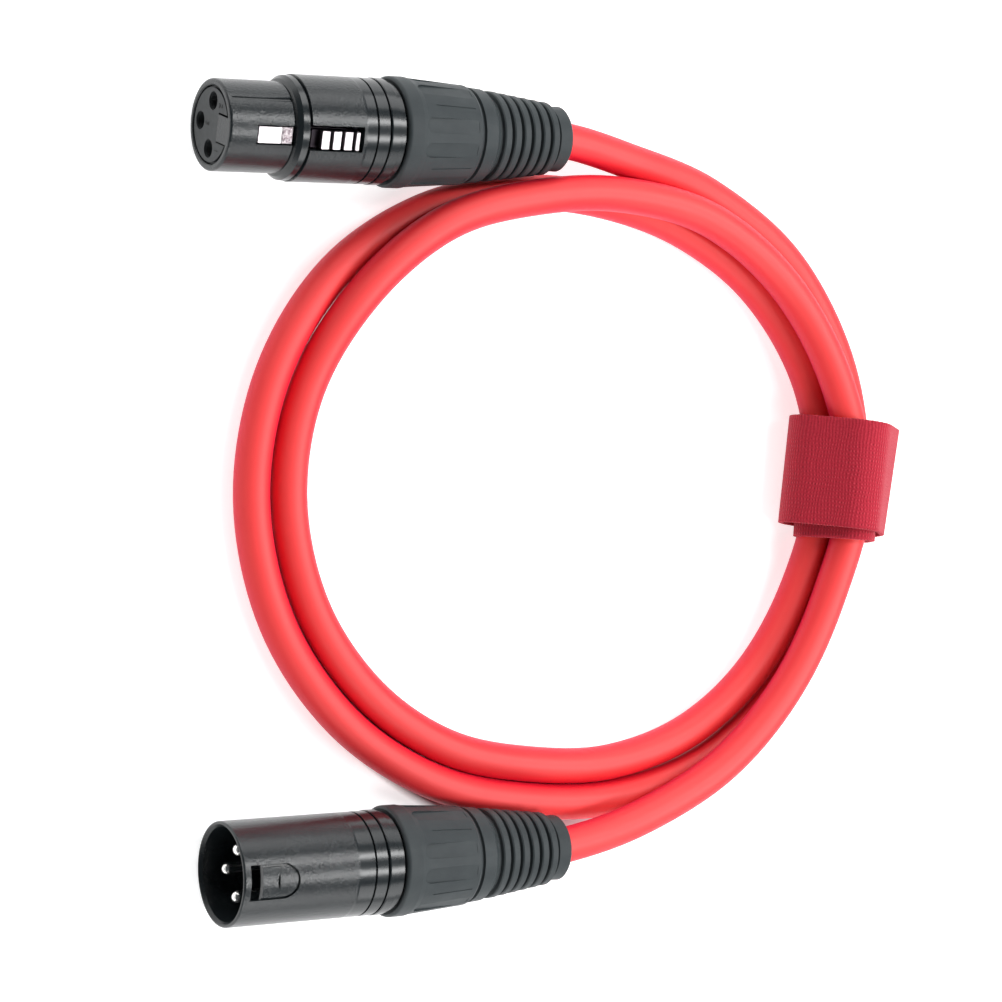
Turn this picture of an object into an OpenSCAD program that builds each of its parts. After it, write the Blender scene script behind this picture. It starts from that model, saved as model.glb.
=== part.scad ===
// Coiled microphone cable with a 3-pole female connector, a 3-pole male
// connector and a hook-and-loop tie. Millimetres, +Z up, the table is z = 0.
// Both connectors point along -X. The female one is on the +Y side.

/* [Cable] */
// Outer diameter of the cable jacket
cable_d = 6.8; // [6.4:0.1:6.8]
// Diameter of each wire inside the connectors
wire_d = 1.5; // [1:0.1:1.6]

/* [Female connector] */
// Outer diameter of the plug nose
nose_d = 16.5; // [16.2:0.1:16.5]
// Length of the plug nose
nose_len = 12.8; // [12.6:0.1:13]
// Outer diameter of the latch barrel
barrel_d = 19.3; // [19.1:0.1:19.5]
// Length of the metal shell, nose to boot
female_len = 34.8; // [34.6:0.1:35]
// Turn of the latch side about the connector's own axis
female_roll = 16.4; // [0:0.1:30]

/* [Male connector] */
// Outer diameter of the male shell
shell_d = 19; // [18.8:0.1:19.2]
// Inner diameter of the male shell's mouth
mouth_d = 17; // [16.9:0.1:17.2]
// Length of the metal shell, rim to boot
male_len = 32.4; // [32.2:0.1:32.6]
// Depth of the open mouth
mouth_depth = 15.6; // [15:0.1:16]
// Turn of the latch side about the connector's own axis
male_roll = 5.7; // [0:0.1:30]

/* [Contacts] */
// Diameter of a male contact pin
pin_d = 2.4; // [2.3:0.1:2.4]
// Inner diameter of a female contact socket
socket_d = 2.5; // [2.45:0.05:2.5]
// Outer diameter of a female contact socket
socket_od = 2.9; // [2.8:0.1:2.9]
// Diameter of the circle that the three contacts stand on
contact_circle_d = 8.6; // [8.4:0.1:8.8]

/* [Boots] */
// Length of each screw-on boot
boot_len = 37.7; // [37.5:0.1:38]
// Largest diameter of the boot
boot_d = 20.4; // [20.2:0.1:20.6]
// Diameter of the collar at the cable end
collar_d = 12.2; // [12:0.1:12.4]
// Distance from rib to rib
rib_pitch = 2.25; // [2.2:0.05:2.25]
// Number of pairs of grip hollows around the boot
grip_pairs = 5; // [4:1:6]
// Diameter of the shell's rear thread
thread_d = 16.6; // [16.4:0.1:16.8]

/* [Tie] */
// Width of the hook-and-loop strap
tie_w = 21.5; // [18:0.5:22]
// Thickness of each of the strap's two plies
tie_ply = 1; // [0.8:0.1:1]
// Turn of the strap's outer wrap about the vertical
tie_turn = -8.5; // [-9.5:0.5:-6.5]

/* [Placement] */
// Distance between the axes of the two connectors
axis_gap = 133.1; // [132.8:0.1:133.4]
// Offset of the female connector's nose from the male rim along X
female_x = 0.3; // [0:0.1:1]
// Length of cable drawn inside each boot
cable_inside = 31; // [30:0.5:32]

/* [Hidden] */

round_fn = 96;
small_fn = 32;
// how far a cutting shape reaches past what it cuts
over = 1;
// radial clearance of a contact in its insert's hole
contact_fit = 0.06;
axis_h = boot_d / 2;
cable_r = cable_d / 2;
contact_r = contact_circle_d / 2;
// a pin is thicker where the insert holds it
pin_held_r = pin_d / 2 + 0.3;
// angle of contacts 1, 2 and 3 about the axis, from the latch side towards +Y
female_angles = [270, 90, 180];
male_angles = [90, 270, 180];

// sides of the cable's tube, and how many steps it is swept in
cable_sides = 12;
cable_rings = 78;

// where the male rim sits along X, so that the whole object is centred on zero
rim_x = -76.4;

// centre of the coil on the table, and the route of the cable around it:
// each row is [angle, distance from the centre, height], clockwise from the
// female boot, 20 degrees apart, 2.5 turns in all
coil_x = 1.6;
coil_points = [
    [80, 64.4, 8.2], [60, 66.2, 4.8], [40, 68.8, 3.5], [20, 68.2, 4.6],
    [0, 65.4, 6.2], [-20, 63.6, 4.6], [-40, 62.6, 3.5], [-60, 61.2, 3.4],
    [-80, 59.5, 3.4], [-100, 59, 3.4], [-120, 61.4, 3.4], [-140, 64.2, 3.4],
    [-160, 66.4, 3.4], [-180, 67.2, 3.4], [-200, 66.4, 3.4], [-220, 64.4, 3.4],
    [-240, 61, 3.4], [-260, 57.8, 3.4], [-280, 56.6, 3.4], [-300, 57.6, 3.4],
    [-320, 59.6, 3.5], [-340, 60.2, 4.6], [-360, 58.2, 6.2], [-380, 56.4, 4.6],
    [-400, 55.4, 3.5], [-420, 54, 3.4], [-440, 52.6, 3.4], [-460, 52.1, 3.4],
    [-480, 54.4, 3.4], [-500, 56.8, 3.4], [-520, 58.8, 3.4], [-540, 59.6, 3.4],
    [-560, 59.2, 3.8], [-580, 58.8, 7.6], [-600, 58.2, 10], [-620, 56.4, 10.4],
    [-640, 57.3, 10.4], [-660, 60, 10.2], [-680, 61.6, 10.2], [-700, 61.8, 11.5],
    [-720, 61.7, 12.6], [-740, 60, 10.8], [-760, 60, 10.5], [-780, 61.2, 10.4],
    [-800, 63.2, 10.4]
];

// female shell stations along its axis, from the nose; a window's three numbers
// are its start, its length and its width
shell_wall = 1.2;
insert_bore_r = nose_d / 2 - shell_wall;
insert_rear = 27.4;
key_w = 4.8;
key_root = 3;
key_len = 3.8;
key_gap = 0.3;
front_window = [5.4, 7.6, 3.5];
rear_window = [15.4, 10.7, 4.6];
neck_r = 9.3;
groove_w = 0.4;
groove_depth = 0.45;

// latch lever heights above the axis, on the latch side
lever_low = 4.9;
lever_t = 1.2;
plate_top = nose_d / 2 - 0.2;
pad_top = barrel_d / 2 - 0.75;
pad_ribs = 4;
pivot_s = 26.4;
pivot_h = 5.4;
pivot_d = 1.2;
pivot_fit = 0.05;
pivot_len = 6.6;

// boot assembly stations, from the end of the metal shell
boot_start = 0.3;
spigot_len = 6;
spigot_bore_r = 7.2;
chuck_r = 7.1;
bush_r = 9.3;
bush_clearance = 0.1;
cable_bore_r = 4.4;
// where the cable's cut end sits, and the gap at each end of a wire
cut_end = boot_len - cable_inside;
wire_gap = 0.5;
// rear end of the solder cups: female from the nose, male past the shell's end
socket_tail = 29.4;
pin_tail = 1.6;
// where a solder cup is cut open, from its bottom and from its middle
cup_open = 1.5;
cup_cut = 0.4;
cone_r = 8.85;
cone_end = 16;
rib_count = 7;
first_rib = 20.75;
first_rib_r = 8.65;
last_rib_r = 6.9;
rib_groove = 0.8;
neck_s = 34.3;

// tie: the three cable passes inside it, [x, z] from the tie's centre
tie_centre = [63.3, 2.3];
bundle = [[-3.5, 6.1], [3.4, 6.1], [0, 12.2]];
// the inner wrap is snug; it is turned less and sits lower than the outer one
wrap_slack = 0.5;
wrap_turn = -6;
wrap_shift = 2;
// the outer wrap is loose: rounds that its inside follows, [x, z, radius]
loose_loop = [[-5.5, 6.5, 5.3], [4.1, 6.1, 5], [9, 9, 2.1], [0, 12.4, 5.3]];
// slit where the two ends of a wrap meet
strap_slit = 0.3;

// ---------------------------------------------------------------- helpers

// turns a solid built up the Z axis so that it runs along +X
module along_x() {
    rotate([0, 90, 0]) children();
}

// solid of revolution about X from [radius, station] points
module turned(points) {
    along_x() rotate_extrude($fn = round_fn) polygon(points);
}

// plain rod about X from one station to another
module rod_x(r, from, to, fn = small_fn) {
    translate([from, 0, 0]) along_x() cylinder(r = r, h = to - from, $fn = fn);
}

// rod between any two points
module rod_between(a, b, r) {
    d = b - a;
    len = norm(d);
    translate(a)
        rotate([0, acos(d[2] / len), atan2(d[1], d[0])])
            cylinder(r = r, h = len, $fn = small_fn);
}

// puts a child on the contact circle, at an angle from the latch side
module at_contact(angle) {
    rotate([-angle, 0, 0]) translate([0, 0, contact_r]) children();
}

module place_female() {
    translate([rim_x + female_x, axis_gap / 2, axis_h])
        rotate([female_roll, 0, 0])
            children();
}

module place_male() {
    translate([rim_x, -axis_gap / 2, axis_h])
        rotate([male_roll, 0, 0])
            children();
}

// points of an arc in [radius, station] space
function arc(c, r, from, to, n = 6) =
    [for (i = [0:n]) c + r * [cos(from + (to - from) * i / n), sin(from + (to - from) * i / n)]];

// a groove cut into the outline of a cylinder of radius r, at station s
function groove(r, s) = [
    [r, s], [r - groove_depth, s + 0.05],
    [r - groove_depth, s + groove_w - 0.05], [r, s + groove_w]
];

// rear part of a metal shell from the last plain station to the spigot end
function shell_rear(r, len) = concat(
    groove(r, len - 6.1),
    groove(r, len - 3.5),
    [[r + 0.1, len - 2.9], [r + 0.1, len - 1.3], [neck_r, len - 1.1], [neck_r, len]],
    [[thread_d / 2, len], [thread_d / 2, len + spigot_len], [spigot_bore_r, len + spigot_len]]
);

// ---------------------------------------------------------- female connector

// fine line down the side of the nose
module nose_line() {
    line_angle = -46.5;
    line_w = 0.6;
    line_depth = 0.2;
    line_from = 0.9;
    rotate([line_angle, 0, 0])
        translate([line_from, -line_w / 2, nose_d / 2 - line_depth])
            cube([nose_len - line_from - 0.2, line_w, 1]);
}

module female_shell() {
    // turns the solid's own seam clear of the windows
    seam_angle = 20;
    nose_r = nose_d / 2;
    barrel_r = barrel_d / 2;
    outline = concat(
        [[insert_bore_r, 0.2], [insert_bore_r + 0.2, 0]],
        arc([nose_r - 0.5, 0.5], 0.5, -90, 0),
        [[nose_r, nose_len - 0.2], [nose_r - 0.2, nose_len]],
        [[nose_r + 0.5, nose_len + 0.3], [barrel_r - 0.25, nose_len + 1.1]],
        [[barrel_r - 0.15, nose_len + 2.1], [barrel_r - 0.6, nose_len + 2.2]],
        [[barrel_r - 0.6, nose_len + 2.6], [barrel_r, nose_len + 2.8]],
        shell_rear(barrel_r, female_len),
        [[spigot_bore_r, insert_rear + 0.3], [insert_bore_r, insert_rear + 0.3]]
    );
    color("#2a2d30") place_female() difference() {
        union() {
            rotate([seam_angle, 0, 0]) turned(outline);
            translate([0, -key_w / 2, key_root])
                cube([key_len, key_w, nose_r - 0.6 - key_root]);
        }
        for (w = [front_window, rear_window])
            translate([w[0], -w[2] / 2, insert_bore_r - over])
                cube([w[1], w[2], barrel_r]);
        nose_line();
    }
}

module female_insert() {
    keyway_w = key_w + 2 * key_gap;
    r = insert_bore_r - 0.07;
    face = 0.15;
    // step round the face, and the wider mouth of each hole
    step_w = 0.35;
    step_s = 0.8;
    mouth_r = socket_od / 2 + 0.2;
    mouth_s = 0.5;
    color("#232527") place_female() difference() {
        turned([
            [0, face], [r - step_w, face], [r - step_w, step_s],
            [r, step_s], [r, insert_rear], [0, insert_rear]
        ]);
        translate([-over, -keyway_w / 2, key_root - key_gap])
            cube([insert_rear + 2 * over, keyway_w, r]);
        for (a = female_angles)
            at_contact(a) {
                rod_x(socket_od / 2 + contact_fit, -over, insert_rear + over);
                rod_x(mouth_r, -over, mouth_s);
            }
        translate([pivot_s, 0, pivot_h])
            rotate([90, 0, 0])
                cylinder(r = pivot_d / 2 + 0.02, h = pivot_len + over, center = true, $fn = small_fn);
    }
}

module female_contact(i) {
    tip = 1.6;
    depth = 15;
    waist = 17;
    cup = 24;
    tail = socket_tail;
    r = socket_od / 2;
    color("#c9c4b4") place_female() at_contact(female_angles[i]) difference() {
        turned([
            [socket_d / 2, tip], [r, tip], [r, waist], [1, waist], [1, cup - 1],
            [r, cup - 0.5], [r, tail], [0.95, tail], [0.95, cup], [0, cup],
            [0, depth], [socket_d / 2, depth]
        ]);
        translate([cup + cup_open, -r - over, cup_cut]) cube([tail, 2 * (r + over), r]);
    }
}

module latch_lever() {
    bar_w = 2.8;
    // gap beside the plate and in front of it, and the wider one behind it
    side_gap = 0.3;
    rear_gap = 0.5;
    plate_w = front_window[2] - 2 * side_gap;
    plate_from = front_window[0] + side_gap;
    plate_len = front_window[1] - side_gap - rear_gap;
    smooth_share = 0.65;
    // the rear third of the plate lies a little lower
    plate_step = 0.2;
    pad_from = rear_window[0] + 1.2;
    pad_len = 9;
    first_rib_at = 1.4;
    // the pad's two sides across the window
    pad_side = [-2, 1.2];
    pad_w = pad_side[1] - pad_side[0];
    rib_step = 2.3;
    rib_w = 1.5;
    rib_h = 1.6;
    bar_top = lever_low + lever_t;
    color("#d9d6d6") place_female() difference() {
        union() {
            translate([plate_from, -bar_w / 2, lever_low])
                cube([pivot_s - plate_from, bar_w, lever_t]);
            translate([plate_from, -plate_w / 2, bar_top - 0.1])
                cube([plate_len * smooth_share, plate_w, plate_top - bar_top + 0.1]);
            translate([plate_from, -plate_w / 2, bar_top - 0.1])
                cube([plate_len, plate_w, plate_top - bar_top + 0.1 - plate_step]);
            translate([pad_from, pad_side[0], bar_top - 0.1])
                cube([pad_len, pad_w, pad_top - rib_h - bar_top + 0.1]);
            for (i = [0:pad_ribs - 1])
                translate([pad_from + first_rib_at + i * rib_step, pad_side[0], bar_top])
                    cube([min(rib_w, pad_len - first_rib_at - i * rib_step), pad_w, pad_top - bar_top]);
            translate([pivot_s, 0, pivot_h])
                rotate([90, 0, 0])
                    cylinder(r = pivot_d, h = bar_w, center = true, $fn = small_fn);
        }
        translate([pivot_s, 0, pivot_h])
            rotate([90, 0, 0])
                cylinder(r = pivot_d / 2 + pivot_fit, h = bar_w + over, center = true, $fn = small_fn);
    }
}

module latch_pin() {
    color("#b8babd") place_female()
        translate([pivot_s, 0, pivot_h])
            rotate([90, 0, 0])
                cylinder(r = pivot_d / 2, h = pivot_len, center = true, $fn = small_fn);
}

module latch_spring() {
    leaf_t = 0.25;
    leaf_w = 2.2;
    base_from = 13;
    base_len = 10;
    rise = 11.5;
    leaf_len = 8;
    keyway_floor = key_root - key_gap;
    color("#aeb1b5") place_female() {
        translate([base_from, -leaf_w / 2, keyway_floor + 0.02])
            cube([base_len, leaf_w, leaf_t]);
        translate([base_from, -leaf_w / 2, keyway_floor + 0.05])
            rotate([0, -rise, 0])
                cube([leaf_len, leaf_w, leaf_t]);
    }
}

// open ring that joins the shield to the metal shell
module ground_ring(from) {
    inner = 6.4;
    outer = spigot_bore_r - 0.05;
    to = from + 1.2;
    opening = 5;
    color("#c4b27a") difference() {
        turned([[inner, from], [outer, from], [outer, to], [inner, to]]);
        translate([from - over, -opening / 2, 0]) cube([to - from + 2 * over, opening, outer + over]);
    }
}

module female_ground_spring() {
    place_female() ground_ring(insert_rear + 0.4);
}

// ------------------------------------------------------------ male connector

// where the blocks that cut the latch side start and how high they are
block_from = 5;
block_h = 6;

module latch_notch() {
    slot_from = 1.4;
    slot_len = 2.3;
    slot_w = 6.4;
    tab_end = 11.1;
    line_w = 0.5;
    line_depth = 0.4;
    floor_h = shell_d / 2 - line_depth;
    translate([slot_from, -slot_w / 2, block_from]) cube([slot_len, slot_w, block_h]);
    difference() {
        tab_outline(slot_from + 1, tab_end, slot_w);
        tab_outline(slot_from, tab_end - line_w, slot_w - 2 * line_w);
        rod_x(floor_h, 0, tab_end + over, round_fn);
    }
}

// upright block with one round end, standing across the latch side
module tab_outline(from, to, w) {
    translate([to - w / 2, 0, block_from]) cylinder(d = w, h = block_h, $fn = round_fn);
    translate([from, -w / 2, block_from]) cube([to - w / 2 - from, w, block_h]);
}

module male_shell() {
    r = shell_d / 2;
    inner = mouth_d / 2;
    arrow_s = 6.4;
    arrow_r = 1.45;
    arrow_depth = 0.4;
    outline = concat(
        [[inner, 0.6], [inner + 0.35, 0.15], [r - 0.5, 0]],
        arc([r - 0.4, 0.4], 0.4, -75, 0),
        shell_rear(r, male_len),
        [[spigot_bore_r, male_len - 3.2], [inner, male_len - 3.6]]
    );
    color("#2a2d30") place_male() difference() {
        turned(outline);
        latch_notch();
        translate([arrow_s, 0, r - arrow_depth])
            rotate([0, 0, 180])
                cylinder(r = arrow_r, h = 1, $fn = 3);
    }
}

module male_insert() {
    r = mouth_d / 2 - 0.06;
    rear = male_len - 3.8;
    color("#1f2123") place_male() difference() {
        turned([[0, mouth_depth], [r, mouth_depth], [r, rear], [0, rear]]);
        for (a = male_angles)
            at_contact(a) rod_x(pin_held_r + contact_fit, mouth_depth - over, rear + over);
    }
}

module male_pin(i) {
    tip = 2.4;
    r = pin_d / 2;
    cup = male_len - 3;
    tail = male_len + pin_tail;
    color("#dcdcde") place_male() at_contact(male_angles[i]) difference() {
        turned(concat(
            arc([0, tip + r], r, -90, 0),
            [[r, mouth_depth], [pin_held_r, mouth_depth]],
            [[pin_held_r, tail], [0.8, tail], [0.8, cup], [0, cup]]
        ));
        translate([cup + cup_open, -pin_held_r - over, cup_cut])
            cube([tail, 2 * (pin_held_r + over), pin_held_r]);
    }
}

module male_ground_spring() {
    place_male() ground_ring(male_len - 3.1);
}

// ------------------------------------------------- parts both connectors share
// s is the station where the metal shell ends and the boot begins

// collet that grips the jacket; it slides in the shell and is slit into fingers
module chuck(s) {
    front = -1.9;
    wide_to = 6.9;
    rear = 16.2;
    grip_r = cable_r + 0.1;
    slit_w = 0.8;
    color("#e4e1da") translate([s, 0, 0]) difference() {
        turned([
            [6, front], [chuck_r, front], [chuck_r, spigot_len + 0.3], [8, spigot_len + 0.3],
            [8, wide_to + 0.4], [7.5, wide_to + 0.9], [5.6, rear], [grip_r, rear],
            [grip_r, wide_to + 0.9], [6, wide_to - 0.6]
        ]);
        for (a = [0, 90])
            rotate([a, 0, 0])
                translate([wide_to + 1.6, -slit_w / 2, -bush_r]) cube([rear, slit_w, 2 * bush_r]);
    }
}

// threaded ring pressed into the boot
module thread_bush(s) {
    inner = thread_d / 2 + bush_clearance;
    color("#3a3833") translate([s, 0, 0])
        turned([
            [inner, boot_start + 0.6], [bush_r, boot_start + 0.6],
            [bush_r, spigot_len], [inner, spigot_len]
        ]);
}

function rib_r(i) = first_rib_r - (first_rib_r - last_rib_r) * i / (rib_count - 1);

// outside of one rib and the groove in front of it
function rib(i) = let (
    s = first_rib + (i - 1) * rib_pitch,
    r = rib_r(i)
) [
    [r - rib_groove, s + 0.1], [r - rib_groove, s + 0.6],
    [r - 0.15, s + 0.75], [r, s + 1.0], [r - 0.05, s + rib_pitch - 0.15], [r - 0.3, s + rib_pitch]
];

module boot_body() {
    r = boot_d / 2;
    outline = concat(
        [[bush_r, boot_start], [r - 0.6, boot_start]],
        arc([r - 0.7, boot_start + 0.7], 0.7, -90, 0),
        [[r, 3.4], [r - 0.2, 4.4], [cone_r + 0.35, cone_end], [cone_r + 0.1, cone_end + 0.4]],
        [[cone_r - 0.5, cone_end + 0.5], [cone_r - 0.5, cone_end + 1]],
        [[cone_r, cone_end + 1.2], [first_rib_r, first_rib - 1]],
        [for (i = [1:rib_count - 1]) each rib(i)],
        [[collar_d / 2 - 0.6, neck_s], [collar_d / 2 - 0.6, neck_s + 0.4]],
        [[collar_d / 2 - 0.1, neck_s + 0.7], [collar_d / 2, boot_len - 0.4]],
        [[collar_d / 2 - 0.4, boot_len], [cable_bore_r + 0.2, boot_len]],
        [[cable_bore_r, boot_len - 0.6], [cable_bore_r, 19], [6.2, 17.2]],
        [[8.1, 8.6], [8.5, 8.4], [8.5, spigot_len + 0.1], [bush_r, spigot_len + 0.1]]
    );
    turned(outline);
}

// one shallow grip hollow, round at the front, running out towards the rear
module grip_hollow(h) {
    hollow_w = 2.8;
    hollow_len = 10;
    hollow_from = 5.4;
    hollow_tilt = 2;
    translate([hollow_from, 0, h])
        rotate([0, hollow_tilt, 0]) {
            cylinder(d = hollow_w, h = 3, $fn = small_fn);
            translate([0, -hollow_w / 2, 0]) cube([hollow_len, hollow_w, 3]);
        }
}

// fine line between two pairs of hollows
module grip_line() {
    line_from = 6.5;
    line_len = 8.5;
    line_w = 0.25;
    line_depth = 0.1;
    cone_tilt = 3.9;
    translate([line_from, -line_w / 2, boot_d / 2 - 0.35 - line_depth])
        rotate([0, cone_tilt, 0])
            cube([line_len, line_w, 2]);
}

module boot(s) {
    hollow_floor = boot_d / 2 - 0.68;
    pair_spread = 13.3;
    first_pair = -6;
    step = 360 / grip_pairs;
    color("#34383a") translate([s, 0, 0]) difference() {
        boot_body();
        for (i = [0:grip_pairs - 1]) {
            for (side = [-1, 1])
                rotate([first_pair + i * step + side * pair_spread, 0, 0])
                    grip_hollow(hollow_floor);
            rotate([first_pair + (i + 0.5) * step, 0, 0]) grip_line();
        }
    }
}

// a wire from a contact's solder cup to the cut end of the cable; the first is
// the bare shield, the second the hot wire and the third the cold wire
module wire(i, angle, from, to) {
    lay_r = 1.7;
    colours = ["#c98f63", "#b3202a", "#d9d9d9"];
    color(colours[i])
        rotate([-angle, 0, 0])
            rod_between([from, 0, contact_r], [to, 0, lay_r], wire_d / 2);
}

module female_wire(i) {
    place_female() wire(i, female_angles[i], socket_tail + wire_gap, female_len + cut_end - wire_gap);
}

module male_wire(i) {
    place_male() wire(i, male_angles[i], male_len + pin_tail + wire_gap, male_len + cut_end - wire_gap);
}

// ------------------------------------------------------------------- cable

route = let (
    gap = axis_gap / 2,
    f_exit = rim_x + female_x + female_len + boot_len,
    m_exit = rim_x + male_len + boot_len,
    half = cable_inside / 2
) concat(
    [for (back = [cable_inside, half, 0]) [f_exit - back, gap, axis_h]],
    [for (p = coil_points) [coil_x + p[1] * cos(p[0]), p[1] * sin(p[0]), p[2]]],
    [for (back = [0, half, cable_inside]) [m_exit - back, -gap, axis_h]]
);

// route point, carried on in a straight line before the start and past the end
function route_point(i) = let (last = len(route) - 1)
    i < 0 ? 2 * route[0] - route[1]
    : i > last ? 2 * route[last] - route[last - 1]
    : route[i];

// smooth curve through the route points, at any place u from 0 to the last point
function on_route(u) = let (
    i = min(floor(u), len(route) - 2),
    t = u - i,
    a = route_point(i - 1),
    b = route_point(i),
    c = route_point(i + 1),
    d = route_point(i + 2)
) 0.5 * (2 * b + (c - a) * t + (2 * a - 5 * b + 4 * c - d) * t * t + (3 * b - a - 3 * c + d) * t * t * t);

function unit(v) = v / norm(v);

// one ring of points round the cable at place u
function cable_ring(u) = let (
    step = 0.01,
    last = len(route) - 1,
    along = unit(on_route(min(u + step, last)) - on_route(max(u - step, 0))),
    side = unit(cross(along, [0, 0, 1])),
    up = cross(side, along),
    p = on_route(u)
) [for (k = [0:cable_sides - 1]) let (a = 360 * k / cable_sides) p + cable_r * (cos(a) * side + sin(a) * up)];

module cable_jacket() {
    n = cable_sides;
    last = len(route) - 1;
    points = [for (j = [0:cable_rings]) each cable_ring(last * j / cable_rings)];
    walls = [for (j = [0:cable_rings - 1]) for (k = [0:n - 1])
        [j * n + k, (j + 1) * n + k, (j + 1) * n + (k + 1) % n, j * n + (k + 1) % n]];
    front = [for (k = [0:n - 1]) k];
    back = [for (k = [n - 1:-1:0]) cable_rings * n + k];
    color("#f04a4e") polyhedron(points = points, faces = concat(walls, [front, back]));
}

// --------------------------------------------------------------------- tie

// outline round three cable passes, grown by a distance
module snug_outline(grow) {
    hull()
        for (c = bundle)
            translate(c) circle(r = cable_r + grow, $fn = small_fn);
}

// outline of the loose outer wrap, grown by a distance
module loose_outline(grow) {
    hull()
        for (c = loose_loop)
            translate([c[0], c[1]]) circle(r = c[2] + grow, $fn = small_fn);
}

// stands an [x, z] outline up and runs it along the strap's width, from a place
// some way down the bundle
module across_bundle(turn, shift = 0) {
    translate([tie_centre[0], tie_centre[1], 0])
        rotate([0, 0, turn])
            translate([0, -shift, 0])
                rotate([90, 0, 0])
                    linear_extrude(height = tie_w, center = true)
                        children();
}

module tie_hook_strip() {
    slit_x = -2;
    color("#a8203a")
        across_bundle(wrap_turn, wrap_shift) difference() {
            snug_outline(wrap_slack + tie_ply);
            snug_outline(wrap_slack);
            translate([slit_x, -over]) square([strap_slit, bundle[0][1]]);
        }
}

module tie_loop_strip() {
    slit_x = 4.5;
    color("#c0263f") across_bundle(tie_turn) difference() {
        loose_outline(tie_ply);
        loose_outline(0);
        translate([slit_x, -over]) square([strap_slit, bundle[0][1]]);
    }
}

// ------------------------------------------------------------------- parts

module female_contact_1() { female_contact(0); }
module female_contact_2() { female_contact(1); }
module female_contact_3() { female_contact(2); }
module female_chuck() { place_female() chuck(female_len); }
module female_thread_bush() { place_female() thread_bush(female_len); }
module female_boot() { place_female() boot(female_len); }
module female_wire_1() { female_wire(0); }
module female_wire_2() { female_wire(1); }
module female_wire_3() { female_wire(2); }
module male_pin_1() { male_pin(0); }
module male_pin_2() { male_pin(1); }
module male_pin_3() { male_pin(2); }
module male_chuck() { place_male() chuck(male_len); }
module male_thread_bush() { place_male() thread_bush(male_len); }
module male_boot() { place_male() boot(male_len); }
module male_wire_1() { male_wire(0); }
module male_wire_2() { male_wire(1); }
module male_wire_3() { male_wire(2); }

cable_jacket();
tie_loop_strip();
tie_hook_strip();
female_shell();
female_insert();
female_contact_1();
female_contact_2();
female_contact_3();
latch_lever();
latch_pin();
latch_spring();
female_ground_spring();
female_chuck();
female_thread_bush();
female_boot();
female_wire_1();
female_wire_2();
female_wire_3();
male_shell();
male_insert();
male_pin_1();
male_pin_2();
male_pin_3();
male_ground_spring();
male_chuck();
male_thread_bush();
male_boot();
male_wire_1();
male_wire_2();
male_wire_3();
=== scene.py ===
import math

import bpy
import bmesh
from mathutils import Matrix, Vector


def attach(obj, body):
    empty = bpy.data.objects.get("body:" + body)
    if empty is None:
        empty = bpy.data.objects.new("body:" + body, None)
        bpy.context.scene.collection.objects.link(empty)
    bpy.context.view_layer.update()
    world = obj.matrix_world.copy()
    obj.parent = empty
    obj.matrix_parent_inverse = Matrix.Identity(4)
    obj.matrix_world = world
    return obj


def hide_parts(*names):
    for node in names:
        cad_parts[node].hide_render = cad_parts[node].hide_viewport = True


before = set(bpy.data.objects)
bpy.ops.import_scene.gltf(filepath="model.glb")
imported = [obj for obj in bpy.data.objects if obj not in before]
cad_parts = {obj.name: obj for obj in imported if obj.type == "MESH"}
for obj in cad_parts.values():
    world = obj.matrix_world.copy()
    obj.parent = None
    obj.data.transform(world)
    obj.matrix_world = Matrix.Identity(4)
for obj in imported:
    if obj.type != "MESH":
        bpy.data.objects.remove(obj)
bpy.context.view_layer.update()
MM = 0.001

# ------------------------------------------------------------------- camera

LENS_PX = 3447.08
IMAGE_PX = 1002
SENSOR_MM = 36
TILT = 0.540526
TURN = -0.017878
EYE_MM = (-347.45, 4.65, 560.7)


def make_camera():
    data = bpy.data.cameras.new("camera")
    data.sensor_width = SENSOR_MM
    data.lens = SENSOR_MM * LENS_PX / IMAGE_PX
    data.clip_start = 0.01
    data.clip_end = 20
    camera = bpy.data.objects.new("camera", data)
    bpy.context.scene.collection.objects.link(camera)
    across = Vector((math.cos(TILT), 0, math.sin(TILT)))
    up = Vector((0, 1, 0))
    back = Vector((-math.sin(TILT), 0, math.cos(TILT)))
    turn = Matrix.Rotation(TURN, 3, "Z")
    axes = Matrix((turn @ across, turn @ up, turn @ back)).transposed()
    camera.matrix_world = Matrix.Translation(Vector(EYE_MM) * MM) @ axes.to_4x4()
    bpy.context.scene.camera = camera


make_camera()

# ---------------------------------------------------------- material helpers


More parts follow.
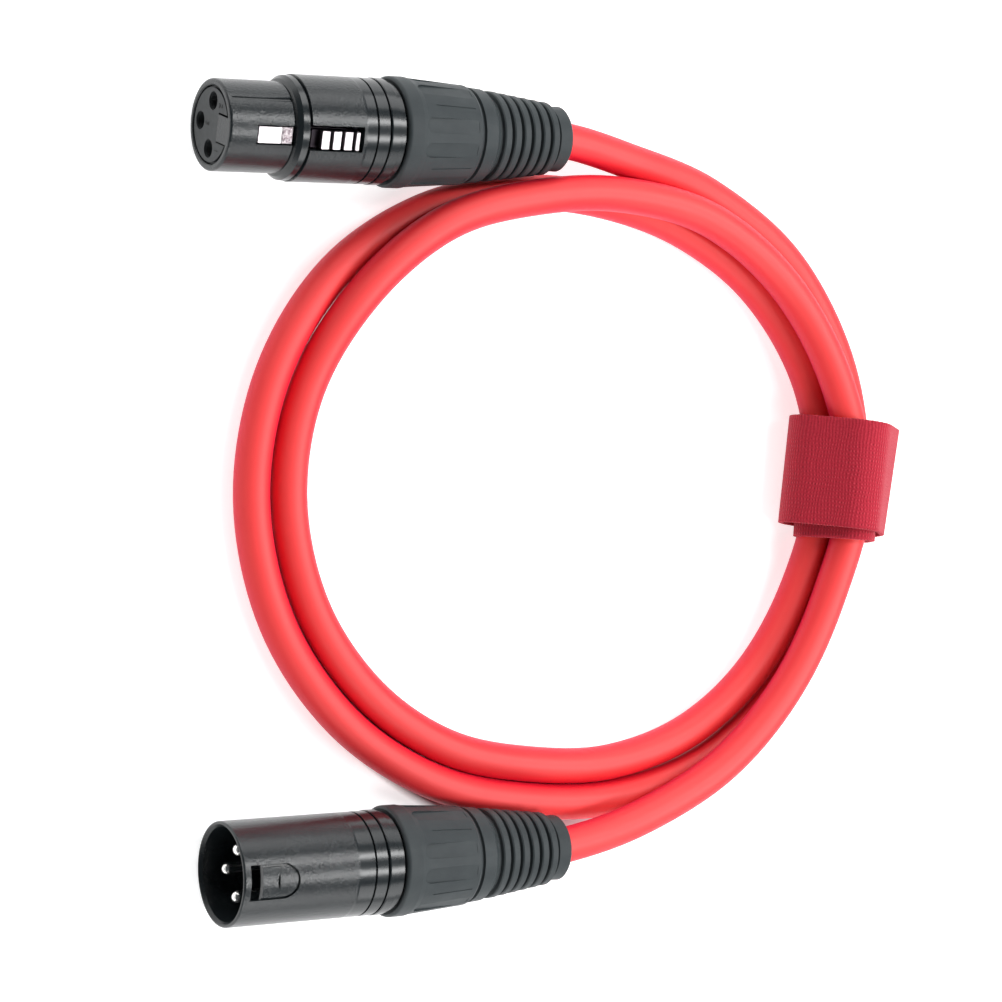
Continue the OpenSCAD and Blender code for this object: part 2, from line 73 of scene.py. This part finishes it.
class Shader:
    """A material with a principled shader and short ways to add nodes to it."""

    def __init__(self, name, color, roughness, metallic=0.0, **sockets):
        self.material = bpy.data.materials.new(name)
        self.material.use_nodes = True
        self.tree = self.material.node_tree
        self.bsdf = self.tree.nodes["Principled BSDF"]
        self.set("Base Color", (*color, 1))
        self.set("Roughness", roughness)
        self.set("Metallic", metallic)
        for key, value in sockets.items():
            self.set(key.replace("_", " "), value)
        self.material.diffuse_color = (*color, 1)

    def set(self, socket, value):
        self.bsdf.inputs[socket].default_value = value

    def add(self, kind, inputs=None, **props):
        """A node; an input is a number, a colour or another node's output."""
        node = self.tree.nodes.new("ShaderNode" + kind)
        for key, value in props.items():
            setattr(node, key, value)
        for key, value in (inputs or {}).items():
            if isinstance(value, bpy.types.NodeSocket):
                self.tree.links.new(value, node.inputs[key])
            else:
                node.inputs[key].default_value = value
        return node

    def place(self):
        return self.add("TexCoord").outputs["Object"]

    def noise(self, scale, detail=2.0, place=None, roughness=0.5):
        place = place or self.place()
        node = self.add("TexNoise", {"Vector": place, "Scale": scale, "Detail": detail,
                                     "Roughness": roughness})
        return node.outputs["Fac"]

    def ramp(self, fac, stops):
        node = self.add("ValToRGB", {"Fac": fac})
        ramp = node.color_ramp
        while len(ramp.elements) < len(stops):
            ramp.elements.new(0.5)
        for element, (position, color) in zip(ramp.elements, stops):
            element.position = position
            element.color = (*color, 1) if len(color) == 3 else color
        return node.outputs["Color"]

    def math(self, operation, a, b=0.0, clamp=False):
        node = self.add("Math", {0: a, 1: b}, operation=operation, use_clamp=clamp)
        return node.outputs["Value"]

    def span(self, value, low, high):
        """1 between low and high of a value, with a soft edge, 0 outside."""
        rise = self.add("MapRange", {"Value": value, "From Min": low, "From Max": low + 0.0004})
        fall = self.add("MapRange", {"Value": value, "From Min": high, "From Max": high + 0.0004,
                                     "To Min": 1.0, "To Max": 0.0})
        return self.math("MULTIPLY", rise.outputs["Result"], fall.outputs["Result"])

    def bump(self, height, distance, strength=1.0):
        node = self.add("Bump", {"Height": height, "Distance": distance, "Strength": strength})
        self.link(node.outputs["Normal"], "Normal")

    def link(self, output, socket):
        self.tree.links.new(output, self.bsdf.inputs[socket])


def paint(name, shader):
    """Gives a CAD node a material."""
    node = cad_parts[name]
    node.data.materials.clear()
    node.data.materials.append(shader.material)


# --------------------------------------------------------------- the cable

CABLE_R = 3.4
AXIS_GAP = 133.1
AXIS_H = 10.2
FEMALE_LEN = 34.8
MALE_LEN = 32.4
BOOT_LEN = 37.7
RIM_X = -76.4
FEMALE_X = RIM_X + 0.3
FEMALE_END = FEMALE_X + FEMALE_LEN + BOOT_LEN
MALE_END = RIM_X + MALE_LEN + BOOT_LEN
# cable inside each boot
INSIDE = 31
COIL_X = 1.6
FEMALE_ROLL = math.radians(16.4)
# the coil's route: angle, distance from its centre, height
COIL_MM = [
    (80, 64.4, 8.2), (60, 66.2, 4.8), (40, 68.8, 3.5), (20, 68.2, 4.6),
    (0, 65.4, 6.2), (-20, 63.6, 4.6), (-40, 62.6, 3.5), (-60, 61.2, 3.4),
    (-80, 59.5, 3.4), (-100, 59, 3.4), (-120, 61.4, 3.4), (-140, 64.2, 3.4),
    (-160, 66.4, 3.4), (-180, 67.2, 3.4), (-200, 66.4, 3.4), (-220, 64.4, 3.4),
    (-240, 61, 3.4), (-260, 57.8, 3.4), (-280, 56.6, 3.4), (-300, 57.6, 3.4),
    (-320, 59.6, 3.5), (-340, 60.2, 4.6), (-360, 58.2, 6.2), (-380, 56.4, 4.6),
    (-400, 55.4, 3.5), (-420, 54, 3.4), (-440, 52.6, 3.4), (-460, 52.1, 3.4),
    (-480, 54.4, 3.4), (-500, 56.8, 3.4), (-520, 58.8, 3.4), (-540, 59.6, 3.4),
    (-560, 59.2, 3.8), (-580, 58.8, 7.6), (-600, 58.2, 10), (-620, 56.4, 10.4),
    (-640, 57.3, 10.4), (-660, 60, 10.2), (-680, 61.6, 10.2), (-700, 61.8, 11.5),
    (-720, 61.7, 12.6), (-740, 60, 10.8), (-760, 60, 10.5), (-780, 61.2, 10.4),
    (-800, 63.2, 10.4),
]


def cable_route():
    """The route's points, in metres, the same as the CAD cable's."""
    half = AXIS_GAP / 2
    points = [(FEMALE_END - back, half, AXIS_H) for back in (INSIDE, INSIDE / 2, 0)]
    for degrees, radius, height in COIL_MM:
        angle = math.radians(degrees)
        points.append((COIL_X + radius * math.cos(angle), radius * math.sin(angle), height))
    points += [(MALE_END - back, -half, AXIS_H) for back in (0, INSIDE / 2, INSIDE)]
    return [Vector(p) * MM for p in points]


def smooth_line(points, steps):
    """A Catmull-Rom curve through the points."""
    ends = [2 * points[0] - points[1]] + points + [2 * points[-1] - points[-2]]
    line = []
    for i in range(1, len(ends) - 2):
        a, b, c, d = ends[i - 1:i + 3]
        for k in range(steps):
            t = k / steps
            line.append(0.5 * (2 * b + (c - a) * t + (2 * a - 5 * b + 4 * c - d) * t * t
                               + (3 * b - a - 3 * c + d) * t * t * t))
    line.append(points[-1])
    return line


def cable_material():
    s = Shader("cable_red", (0.86, 0.05, 0.055), 0.42, Specular_IOR_Level=0.35)
    normal = s.add("SeparateXYZ", {"Vector": s.add("NewGeometry").outputs["Normal"]})
    # painted light and shade: the base colour is lighter where the cable faces up and towards -X, and
    # darker on its sides and underside; the noise adds random tone
    painted_top_light = s.math("ADD", normal.outputs["Z"], s.math("MULTIPLY", normal.outputs["X"], -0.35))
    tone = s.math("ADD", painted_top_light, s.math("MULTIPLY", s.math("SUBTRACT", s.noise(45, 3), 0.5), 0.25))
    color = s.ramp(tone, [(0.0, (0.66, 0.008, 0.05)), (0.45, (0.78, 0.012, 0.034)),
                          (0.75, (0.86, 0.03, 0.038)), (0.97, (0.88, 0.058, 0.058))])
    s.link(color, "Base Color")
    dull = s.noise(900, 3)
    rough = s.add("MapRange", {"Value": dull, "To Min": 0.44, "To Max": 0.54})
    s.link(rough.outputs["Result"], "Roughness")
    s.bump(s.noise(2600, 2), 0.00002, 0.4)
    return s.material


def make_cable():
    curve = bpy.data.curves.new("cable", "CURVE")
    curve.dimensions = "3D"
    curve.bevel_depth = CABLE_R * MM
    curve.bevel_resolution = 8
    curve.use_fill_caps = True
    spline = curve.splines.new("POLY")
    line = smooth_line(cable_route(), 10)
    spline.points.add(len(line) - 1)
    for point, place in zip(spline.points, line):
        point.co = (*place, 1)
    spline.use_smooth = True
    cable = bpy.data.objects.new("cable", curve)
    bpy.context.scene.collection.objects.link(cable)
    curve.materials.append(cable_material())
    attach(cable, "root")
    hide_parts("cable_jacket")


make_cable()

# ----------------------------------------------------------------- the tie

TIE_CENTRE = (63.3, 2.3)
TIE_W = 21.5
WRAP_TURN = -6.0
TIE_TURN = -8.5
PLY = 1.0
HALF_PLY = PLY / 2
# width of the strap's edge, and of its rounded corner
EDGE = 0.3
CORNER = 0.15
ACROSS = 30
# how far the wrap is shifted along the cable, and over what length it moves across
WRAP_SHIFT = -2
CROSS_START = 4
CROSS_LENGTH = 14
# circles whose hull the snug and the loose wrap follow: across, height, radius
SNUG = [(-3.5, 6.1, 3.9), (3.4, 6.1, 3.9), (0, 12.2, 3.9)]
LOOSE = [(-5.5, 6.5, 5.3), (4.1, 6.1, 5), (9, 9, 2.1), (0, 12.4, 5.3)]


def outline(rounds, grow, start, stop, step=2):
    """Points round the hull of circles, counterclockwise from one normal angle to another."""
    points = []
    for degrees in range(start, stop + 1, step):
        n = Vector((math.cos(math.radians(degrees)), math.sin(math.radians(degrees))))
        best = max(rounds, key=lambda c: c[0] * n.x + c[1] * n.y + c[2])
        points.append(Vector(best[:2]) + (best[2] + grow) * n)
    return points


def even(points, step):
    """The same open line with points an even distance apart."""
    lengths = [0.0]
    for a, b in zip(points, points[1:]):
        lengths.append(lengths[-1] + (b - a).length)
    count = max(2, round(lengths[-1] / step))
    line, i = [], 0
    for k in range(count + 1):
        want = lengths[-1] * k / count
        while i < len(lengths) - 2 and lengths[i + 1] < want:
            i += 1
        span = lengths[i + 1] - lengths[i]
        t = (want - lengths[i]) / span if span > 1e-9 else 0.0
        line.append(points[i].lerp(points[i + 1], min(max(t, 0.0), 1.0)))
    return line, lengths[-1]


def soften(points, times):
    for _ in range(times):
        points = ([points[0]] + [(a + 2 * b + c) / 4 for a, b, c in zip(points, points[1:], points[2:])]
                  + [points[-1]])
    return points


def strap_path():
    """One strap's middle line: a snug wrap, then across to a loose wrap."""
    inner = outline(SNUG, HALF_PLY, 5, 312)
    outer = outline(LOOSE, HALF_PLY, 334, 660)
    joined = len(even(inner, 0.5)[0])
    rough, _ = even(inner + outer, 0.5)
    line, length = even(soften(rough, 3), 0.17)
    return line, length, joined * 0.5


def tie_material():
    s = Shader("tie_crimson", (0.5, 0.018, 0.045), 0.85, Specular_IOR_Level=0.25,
               Sheen_Weight=0.2, Sheen_Roughness=0.5, Sheen_Tint=(1.0, 0.55, 0.6, 1))
    place = s.add("UVMap", uv_map="strap").outputs["UV"]
    axes = s.add("SeparateXYZ", {"Vector": place})
    along, across = axes.outputs["X"], axes.outputs["Y"]
    wobble = s.math("MULTIPLY", s.noise(260, 3, place), 0.0011)
    rib = s.math("SINE", s.math("MULTIPLY", s.math("ADD", along, wobble), 2 * math.pi / 0.00062))
    weave = s.math("MULTIPLY", s.noise(340, 3, place), 0.0012)
    knit = s.math("SINE", s.math("MULTIPLY", s.math("ADD", across, weave), 2 * math.pi / 0.0008))
    dots = s.math("MULTIPLY", s.math("MULTIPLY", rib, knit), s.noise(420, 2, place))
    fuzz = s.noise(2600, 4, place)
    body = s.add("MapRange", {"Value": across, "From Min": 0.0055, "From Max": 0.0085,
                              "To Min": 1.0, "To Max": 0.0})
    body = s.math("MULTIPLY", body.outputs["Result"], s.noise(260, 2, place))
    height = s.math("ADD", s.math("MULTIPLY", rib, 0.3), s.math("MULTIPLY", dots, body))
    height = s.math("ADD", height, s.math("MULTIPLY", fuzz, 1.1))
    # partly painted shade: the colour follows the weave's relief, darker in its grooves and lighter on
    # its raised ribs; the fuzz and the noise in the dots also give random fibre tone
    tone = s.add("MapRange", {"Value": height, "From Min": -0.2, "From Max": 1.3})
    color = s.ramp(tone.outputs["Result"], [
        (0.0, (0.2, 0.004, 0.014)), (0.35, (0.36, 0.01, 0.026)),
        (0.65, (0.44, 0.016, 0.036)), (1.0, (0.58, 0.045, 0.07))])
    pale = s.add("Attribute", attribute_name="pale").outputs["Fac"]
    mixed = s.add("Mix", {0: pale, 6: color, 7: (0.8, 0.55, 0.5, 1)}, data_type="RGBA")
    s.link(mixed.outputs[2], "Base Color")
    s.bump(height, 0.00012, 0.7)
    return s.material


def make_tie():
    line, length, joined = strap_path()
    rings = len(line)
    step = length / (rings - 1)
    mesh = bmesh.new()
    uv = mesh.loops.layers.uv.new("strap")
    pale_layer = mesh.verts.layers.float.new("pale")
    edge = [(0.18, 0.28), (0.26, 0.0), (0.18, -0.28)]
    ring_shape = [(-TIE_W / 2 + TIE_W * j / ACROSS, HALF_PLY) for j in range(ACROSS + 1)]
    ring_shape[0] = (ring_shape[0][0] + CORNER, HALF_PLY)
    ring_shape[-1] = (ring_shape[-1][0] - CORNER, HALF_PLY)
    right = [(TIE_W / 2 - 0.26 + out, h * 1.4) for out, h in edge]
    back = [(v, -h) for v, h in reversed(ring_shape)]
    left = [(-v, h) for v, h in reversed(right)]
    ring_shape = ring_shape + right + back + left
    spots = [v for v, _ in ring_shape]
    rows = []
    for i, p in enumerate(line):
        ahead = line[min(i + 1, rings - 1)] - line[max(i - 1, 0)]
        ahead.normalize()
        normal = Vector((ahead.y, -ahead.x))
        s_mm = i * step
        t = min(max((s_mm - joined + CROSS_START) / CROSS_LENGTH, 0.0), 1.0)
        t = t * t * (3 - 2 * t)
        turn = Matrix.Rotation(math.radians(WRAP_TURN + (TIE_TURN - WRAP_TURN) * t), 3, "Z")
        shift = WRAP_SHIFT * (1 - t)
        row = []
        for v, h in ring_shape:
            outside = h > HALF_PLY * 0.9
            at_edge = abs(v) > TIE_W / 2 - EDGE
            frayed = 0.05 * math.sin(s_mm * 9.3) * math.sin(s_mm * 3.1 + 1) if at_edge else 0
            x = p.x + normal.x * h
            z = p.y + normal.y * h
            # the loose side tapers a little towards the strap's lower edge
            x -= t * max(0.0, x - 2) / 9 * (0.5 + 1.1 * (0.5 - v / TIE_W))
            y = v + shift + frayed
            place = turn @ Vector((x, y, 0))
            vert = mesh.verts.new(((TIE_CENTRE[0] + place.x) * MM,
                                   (TIE_CENTRE[1] + place.y) * MM, z * MM))
            top_edge = v > TIE_W / 2 - EDGE
            vert[pale_layer] = 1.0 if top_edge and not outside and p.x > 6.5 and t > 0.9 else 0.0
            row.append(vert)
        rows.append(row)
    count = len(ring_shape)

    def add_face(verts, coords):
        face = mesh.faces.new(verts)
        face.smooth = True
        for loop, (u, w) in zip(face.loops, coords):
            loop[uv].uv = (u * MM, w * MM)

    for i in range(rings - 1):
        a, b = rows[i], rows[i + 1]
        for k in range(count):
            n = (k + 1) % count
            add_face((a[k], b[k], b[n], a[n]), ((i * step, spots[k]), ((i + 1) * step, spots[k]),
                                                ((i + 1) * step, spots[n]), (i * step, spots[n])))
    add_face(rows[0], [(0, s) for s in spots])
    add_face(list(reversed(rows[-1])), [(length, s) for s in reversed(spots)])
    bmesh.ops.recalc_face_normals(mesh, faces=mesh.faces)
    data = bpy.data.meshes.new("tie_strap")
    mesh.to_mesh(data)
    mesh.free()
    data.materials.append(tie_material())
    tie = bpy.data.objects.new("tie_strap", data)
    bpy.context.scene.collection.objects.link(tie)
    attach(tie, "root")
    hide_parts("tie_loop_strip", "tie_hook_strip")


make_tie()

# ------------------------------------------------------------ CAD materials


def shell_material(name, smooth):
    """Black enamel over a fine cast grain, polished smooth over some spans of X."""
    s = Shader(name, (0.01, 0.014, 0.016), 0.3, Specular_IOR_Level=0.45)
    x = s.add("SeparateXYZ", {"Vector": s.place()}).outputs["X"]
    polished = None
    for low, high in smooth:
        span = s.span(x, low * MM, high * MM)
        polished = span if polished is None else s.math("MAXIMUM", polished, span)
    grain = s.math("SUBTRACT", 1.0, polished)
    cast = s.noise(2300, 3)
    fine = s.noise(4200, 2)
    height = s.math("ADD", cast, s.math("MULTIPLY", fine, 0.5))
    s.bump(s.math("MULTIPLY", height, grain), 0.00005, 1.0)
    tone = s.ramp(s.noise(260, 3), [(0.3, (0.008, 0.011, 0.013)), (0.7, (0.013, 0.017, 0.019))])
    s.link(tone, "Base Color")
    rough = s.add("MapRange", {"Value": grain, "To Min": 0.22, "To Max": 0.27})
    s.link(rough.outputs["Result"], "Roughness")
    return s


def insert_material(name, color):
    s = Shader(name, color, 0.5, Specular_IOR_Level=0.35)
    rough = s.add("MapRange", {"Value": s.noise(900, 3), "To Min": 0.42, "To Max": 0.6})
    s.link(rough.outputs["Result"], "Roughness")
    s.bump(s.noise(5200, 2), 0.00001, 0.5)
    return s


def boot_material():
    s = Shader("boot_grey", (0.034, 0.041, 0.044), 0.55, Specular_IOR_Level=0.25)
    tone = s.ramp(s.noise(190, 4), [(0.3, (0.03, 0.037, 0.04)), (0.7, (0.038, 0.046, 0.049))])
    s.link(tone, "Base Color")
    rough = s.add("MapRange", {"Value": s.noise(700, 3), "To Min": 0.46, "To Max": 0.62})
    s.link(rough.outputs["Result"], "Roughness")
    s.bump(s.noise(3600, 3), 0.000025, 0.5)
    return s


def metal_material(name, color, roughness, scratch):
    s = Shader(name, color, roughness, metallic=1.0)
    stretched = s.add("Mapping", {"Vector": s.place(), "Scale": (0.12, 1, 1)}).outputs["Vector"]
    wear = s.noise(2400, 3, stretched)
    rough = s.add("MapRange", {"Value": wear, "To Min": roughness * 0.7, "To Max": roughness * 1.4})
    s.link(rough.outputs["Result"], "Roughness")
    s.bump(wear, 0.00002, scratch)
    return s


def latch_material():
    """Bright nickel, rough-textured over the rear third of the front plate."""
    s = Shader("nickel", (0.62, 0.58, 0.59), 0.48, metallic=1.0)
    x = s.add("SeparateXYZ", {"Vector": s.place()}).outputs["X"]
    coarse = s.span(x, (FEMALE_X + 10.3) * MM, (FEMALE_X + 12.7) * MM)
    speck = s.noise(2000, 3)
    s.bump(s.math("MULTIPLY", speck, coarse), 0.0003, 1.0)
    tone = s.ramp(s.math("MULTIPLY", s.math("SUBTRACT", speck, 0.35), coarse),
                  [(0.0, (0.62, 0.575, 0.59)), (0.3, (0.2, 0.15, 0.17))])
    # between the pad's ribs it is in shadow: height above the axis on the latch side
    centre = (0, AXIS_GAP / 2 * MM, AXIS_H * MM)
    from_axis = s.add("VectorMath", {0: s.place(), 1: centre}, operation="SUBTRACT")
    upward = (0, -math.sin(FEMALE_ROLL), math.cos(FEMALE_ROLL))
    height = s.add("VectorMath", {0: from_axis.outputs["Vector"], 1: upward}, operation="DOT_PRODUCT")
    low = s.add("MapRange", {"Value": height.outputs["Value"], "From Min": 0.0073, "From Max": 0.0086,
                             "To Min": 1.0, "To Max": 0.0})
    on_pad = s.span(x, (FEMALE_X + 16) * MM, (FEMALE_X + 27) * MM)
    shadow = s.math("MULTIPLY", low.outputs["Result"], on_pad)
    mixed = s.add("Mix", {0: shadow, 6: tone, 7: (0.03, 0.025, 0.03, 1)}, data_type="RGBA")
    s.link(mixed.outputs[2], "Base Color")
    return s


def plastic_material(name, color, roughness):
    s = Shader(name, color, roughness)
    s.bump(s.noise(1800, 2), 0.00002, 0.4)
    rough = s.add("MapRange", {"Value": s.noise(600, 2), "To Min": roughness * 0.8,
                               "To Max": roughness * 1.2})
    s.link(rough.outputs["Result"], "Roughness")
    return s


paint("female_shell", shell_material("shell_female", [(FEMALE_X + 12.7, FEMALE_X + 15.2),
                                                      (FEMALE_X + 26.5, FEMALE_X + 50)]))
paint("male_shell", shell_material("shell_male", [(RIM_X + 22.9, RIM_X + 50)]))
paint("female_insert", insert_material("insert_female", (0.03, 0.034, 0.036)))
# painted shade: the male insert, recessed inside its shell, gets a darker copy of the insert colour
paint("male_insert", insert_material("insert_male", (0.012, 0.014, 0.015)))
rubber = boot_material()
steel = metal_material("spring_steel", (0.6, 0.61, 0.63), 0.3, 0.5)
brass = metal_material("brass", (0.72, 0.55, 0.26), 0.32, 0.5)
silver = metal_material("contact_silver", (0.9, 0.89, 0.87), 0.18, 0.25)
bush = plastic_material("bush_grey", (0.03, 0.03, 0.028), 0.6)
collet = plastic_material("collet_white", (0.78, 0.76, 0.71), 0.4)
wires = [metal_material("bare_copper", (0.75, 0.42, 0.26), 0.35, 0.6),
         plastic_material("wire_red", (0.6, 0.05, 0.05), 0.35),
         plastic_material("wire_white", (0.8, 0.8, 0.78), 0.35)]
paint("latch_lever", latch_material())
paint("latch_pin", steel)
paint("latch_spring", steel)
for side in ("female", "male"):
    paint(side + "_boot", rubber)
    paint(side + "_chuck", collet)
    paint(side + "_thread_bush", bush)
    paint(side + "_ground_spring", brass)
    for i in range(3):
        paint(f"{side}_wire_{i + 1}", wires[i])
for i in range(3):
    paint(f"female_contact_{i + 1}", silver)
    paint(f"male_pin_{i + 1}", silver)

# ----------------------------------------------- contact numbers on the face

NUMERAL_MM = 2.0
# how far a numeral is raised from the face, and where its middle plane is
NUMERAL_DEPTH = 0.04
NUMERAL_X = 0.13
# each numeral's place on the face: across, up
NUMERALS = {"1": (-4.1, 2.95), "2": (3.9, 3.2), "3": (0, -1.5)}


def make_numerals():
    ink = plastic_material("numeral_black", (0.002, 0.002, 0.003), 0.6)
    for digit, (y, h) in NUMERALS.items():
        data = bpy.data.curves.new("numeral_" + digit, "FONT")
        data.body = digit
        data.size = NUMERAL_MM * MM
        data.extrude = NUMERAL_DEPTH * MM
        data.align_x = "CENTER"
        data.align_y = "CENTER"
        text = bpy.data.objects.new("numeral_text_" + digit, data)
        bpy.context.scene.collection.objects.link(text)
        bpy.context.view_layer.update()
        evaluated = text.evaluated_get(bpy.context.evaluated_depsgraph_get())
        shape = bpy.data.meshes.new_from_object(evaluated)
        bpy.data.objects.remove(text)
        mark = bpy.data.objects.new("numeral_" + digit, shape)
        bpy.context.scene.collection.objects.link(mark)
        roll = Matrix.Rotation(FEMALE_ROLL, 4, "X")
        face_on = Matrix(((0, 0, -1, 0), (-1, 0, 0, 0), (0, 1, 0, 0), (0, 0, 0, 1)))
        centre = Vector((FEMALE_X, AXIS_GAP / 2, AXIS_H)) * MM
        local = Vector((NUMERAL_X, y, h)) * MM
        shape.transform(Matrix.Translation(centre) @ roll @ Matrix.Translation(local) @ face_on)
        shape.materials.clear()
        shape.materials.append(ink.material)
        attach(mark, "root")


make_numerals()

# ------------------------------------------------------------- studio


FLOOR_SIZE = 6
FLOOR_Z = -0.0001
GLOW = 0.72


def make_floor():
    data = bpy.data.meshes.new("floor")
    signs = ((-1, -1), (1, -1), (1, 1), (-1, 1))
    corners = [(x * FLOOR_SIZE, y * FLOOR_SIZE, FLOOR_Z) for x, y in signs]
    data.from_pydata(corners, [], [(0, 1, 2, 3)])
    floor = bpy.data.objects.new("floor", data)
    bpy.context.scene.collection.objects.link(floor)
    s = Shader("floor_white", (0.7, 0.7, 0.7), 0.8, Specular_IOR_Level=0.1,
               Emission_Color=(1, 1, 1, 1), Emission_Strength=GLOW)
    # painted shade: the glow stops in a ring under the coil, so that the floor there is left in
    # shadow and its passes are dark where they meet, but goes on over the sides where they lie apart
    axes = s.add("SeparateXYZ", {"Vector": s.place()})
    away = s.math("SUBTRACT", axes.outputs["X"], COIL_X * MM)
    squares = s.math("ADD", s.math("MULTIPLY", away, away),
                     s.math("MULTIPLY", axes.outputs["Y"], axes.outputs["Y"]))
    radius = s.math("SQRT", squares)
    inside = s.add("MapRange", {"Value": radius, "From Min": 0.0535, "From Max": 0.055,
                                "To Min": 1.0, "To Max": 0.0})
    outside = s.add("MapRange", {"Value": radius, "From Min": 0.0643, "From Max": 0.066})
    glow = s.math("ADD", inside.outputs["Result"], outside.outputs["Result"])
    for axis in ("X", "Y"):
        open_side = s.add("MapRange", {"Value": axes.outputs[axis],
                                       "From Min": 0.015, "From Max": 0.03})
        glow = s.math("MAXIMUM", glow, open_side.outputs["Result"])
    s.link(s.math("MULTIPLY", glow, GLOW), "Emission Strength")
    data.materials.append(s.material)


def area_light(name, place, target, size, power, color=(1, 1, 1)):
    data = bpy.data.lights.new(name, "AREA")
    data.shape = "RECTANGLE"
    data.size, data.size_y = size
    data.energy = power
    data.color = color
    light = bpy.data.objects.new(name, data)
    bpy.context.scene.collection.objects.link(light)
    away = (Vector(place) - Vector(target)).normalized()
    across = Vector((1, 0, 0)) - away.x * away
    across.normalize()
    up = away.cross(across)
    axes = Matrix((across, up, away)).transposed()
    light.matrix_world = Matrix.Translation(place) @ axes.to_4x4()


def make_world():
    """A white room that is darker overhead, as around a product on a table."""
    world = bpy.data.worlds.new("studio")
    world.use_nodes = True
    bpy.context.scene.world = world
    tree = world.node_tree
    background = tree.nodes["Background"]
    place = tree.nodes.new("ShaderNodeTexCoord")
    axes = tree.nodes.new("ShaderNodeSeparateXYZ")
    ramp = tree.nodes.new("ShaderNodeValToRGB")
    tree.links.new(place.outputs["Generated"], axes.inputs["Vector"])
    tree.links.new(axes.outputs["Z"], ramp.inputs["Fac"])
    tree.links.new(ramp.outputs["Color"], background.inputs["Color"])
    ramp.color_ramp.elements[0].position = 0.0
    ramp.color_ramp.elements[0].color = (1.0, 1.0, 1.0, 1)
    ramp.color_ramp.elements[1].position = 0.38
    ramp.color_ramp.elements[1].color = (0.06, 0.065, 0.07, 1)
    background.inputs["Strength"].default_value = 1.0


make_floor()
make_world()
for side, y in (("left", 0.33), ("right", -0.33)):
    area_light("strip_" + side, (0.62, y, 1.0), (-0.04, 0, 0.01), (0.9, 0.2), 9)
area_light("fill_left", (0.1, 1.3, 0.7), (0, 0, 0), (1.4, 0.8), 13)
area_light("fill_right", (0.1, -1.3, 0.7), (0, 0, 0), (1.4, 0.8), 13)
bpy.context.scene.view_settings.view_transform = "Standard"
